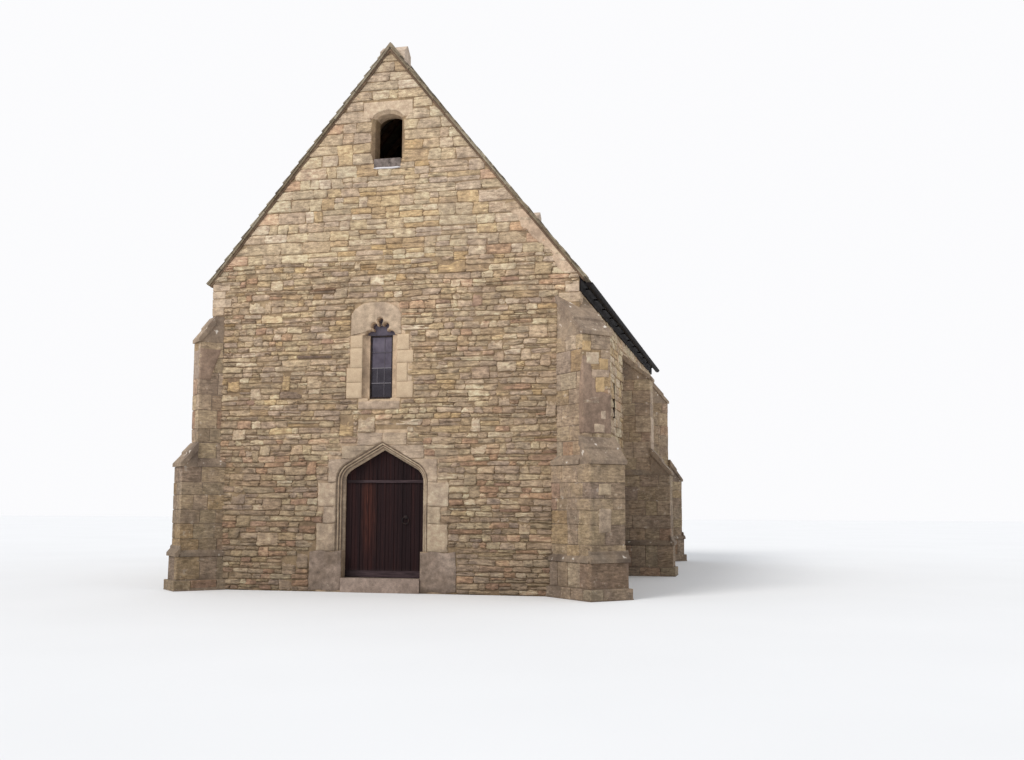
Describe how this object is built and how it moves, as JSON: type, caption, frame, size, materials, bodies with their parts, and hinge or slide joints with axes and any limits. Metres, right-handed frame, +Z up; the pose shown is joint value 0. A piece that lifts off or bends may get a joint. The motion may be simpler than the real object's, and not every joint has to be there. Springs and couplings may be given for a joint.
{
  "type": "small chapel",
  "caption": "Small hollow stone chapel with a steep tiled roof, buttressed walls, lancet windows, a gable opening and a plank door that swings inwards.",
  "frame": {"origin": "on the ground at the middle of the plan", "axes": "+Z up, entrance front faces -Y, +X to the right when looking at the front"},
  "size_m": [8.24, 12.8688, 9.0118],
  "materials": {
    "rubble_stone": "coursed limestone rubble, weathered",
    "dressed_stone": "dressed limestone, weathered",
    "paving_stone": "worn stone",
    "stone_tiles": "stone roof tiles with lichen",
    "door_oak": "dark oiled boards",
    "roof_oak": "old sawn oak",
    "wrought_iron": "black iron",
    "black_rainwater_goods": "black painted cast iron",
    "window_glass": "old dark glass",
    "lead": "dull lead sheet"
  },
  "bodies": {
    "building": {"apex_stones": "dressed_stone", "back_gable": "rubble_stone", "back_left_buttress": "rubble_stone", "back_right_buttress": "rubble_stone", "back_wall": "rubble_stone", "door_arch": "dressed_stone", "door_jamb_left": "dressed_stone", "door_jamb_right": "dressed_stone", "door_pintles": "wrought_iron", "eaves_boards": "black_rainwater_goods", "floor": "paving_stone", "front_gable": "rubble_stone", "front_left_buttress": "rubble_stone", "front_right_buttress": "rubble_stone", "front_wall_left": "rubble_stone", "front_wall_over_door": "rubble_stone", "front_wall_right": "rubble_stone", "gutter_brackets": "black_rainwater_goods", "gutters": "black_rainwater_goods", "lancet_glass": "window_glass", "lancet_heads": "dressed_stone", "lancet_jambs": "dressed_stone", "lancet_sills": "dressed_stone", "lead_trays": "lead", "left_middle_buttress": "rubble_stone", "left_wall_back_bay": "rubble_stone", "left_wall_front_bay": "rubble_stone", "opening_heads": "dressed_stone", "rafters": "roof_oak", "ridge_capping": "stone_tiles", "right_middle_buttress": "rubble_stone", "right_wall_back_bay": "rubble_stone", "right_wall_front_bay": "rubble_stone", "roof_left": "stone_tiles", "roof_right": "stone_tiles", "threshold": "paving_stone", "verge_back": "stone_tiles", "verge_front": "stone_tiles", "wall_plates": "roof_oak"},
    "door": {"door_leaf": "door_oak", "door_fillets": "door_oak", "door_rails": "door_oak", "door_straps": "wrought_iron", "door_ring": "wrought_iron"}
  },
  "joints": [
    {"name": "door_hinge", "type": "hinge", "parent": "building", "child": "door", "pos_m": [-0.793, -5.377, 0.56], "axis": [0, 0, 1], "range_deg": [0, 95]}
  ]
}
